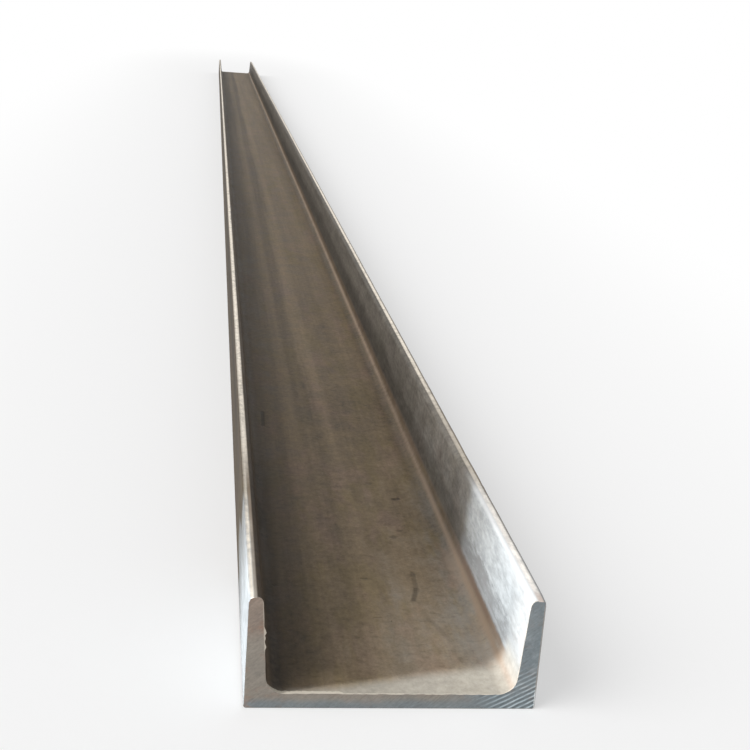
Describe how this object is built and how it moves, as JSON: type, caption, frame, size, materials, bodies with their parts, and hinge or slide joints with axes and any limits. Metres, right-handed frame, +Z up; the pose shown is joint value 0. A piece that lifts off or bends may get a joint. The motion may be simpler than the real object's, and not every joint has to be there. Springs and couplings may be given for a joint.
{
  "type": "steel channel",
  "caption": "Hot-rolled steel channel with tapered flanges, a full mill length lying on its web with the flanges up, ends sawn square.",
  "frame": {"origin": "under the middle of the web, halfway along the length, on the floor", "axes": "+Y along the length, +Z up out of the open side between the flanges, +X across the depth of the section"},
  "size_m": [0.16, 6, 0.065],
  "materials": {
    "mill_steel": "hot-rolled mill scale with light rust at the roots and bare steel on the sawn ends"
  },
  "bodies": {
    "root": {"channel": "mill_steel"}
  },
  "joints": []
}
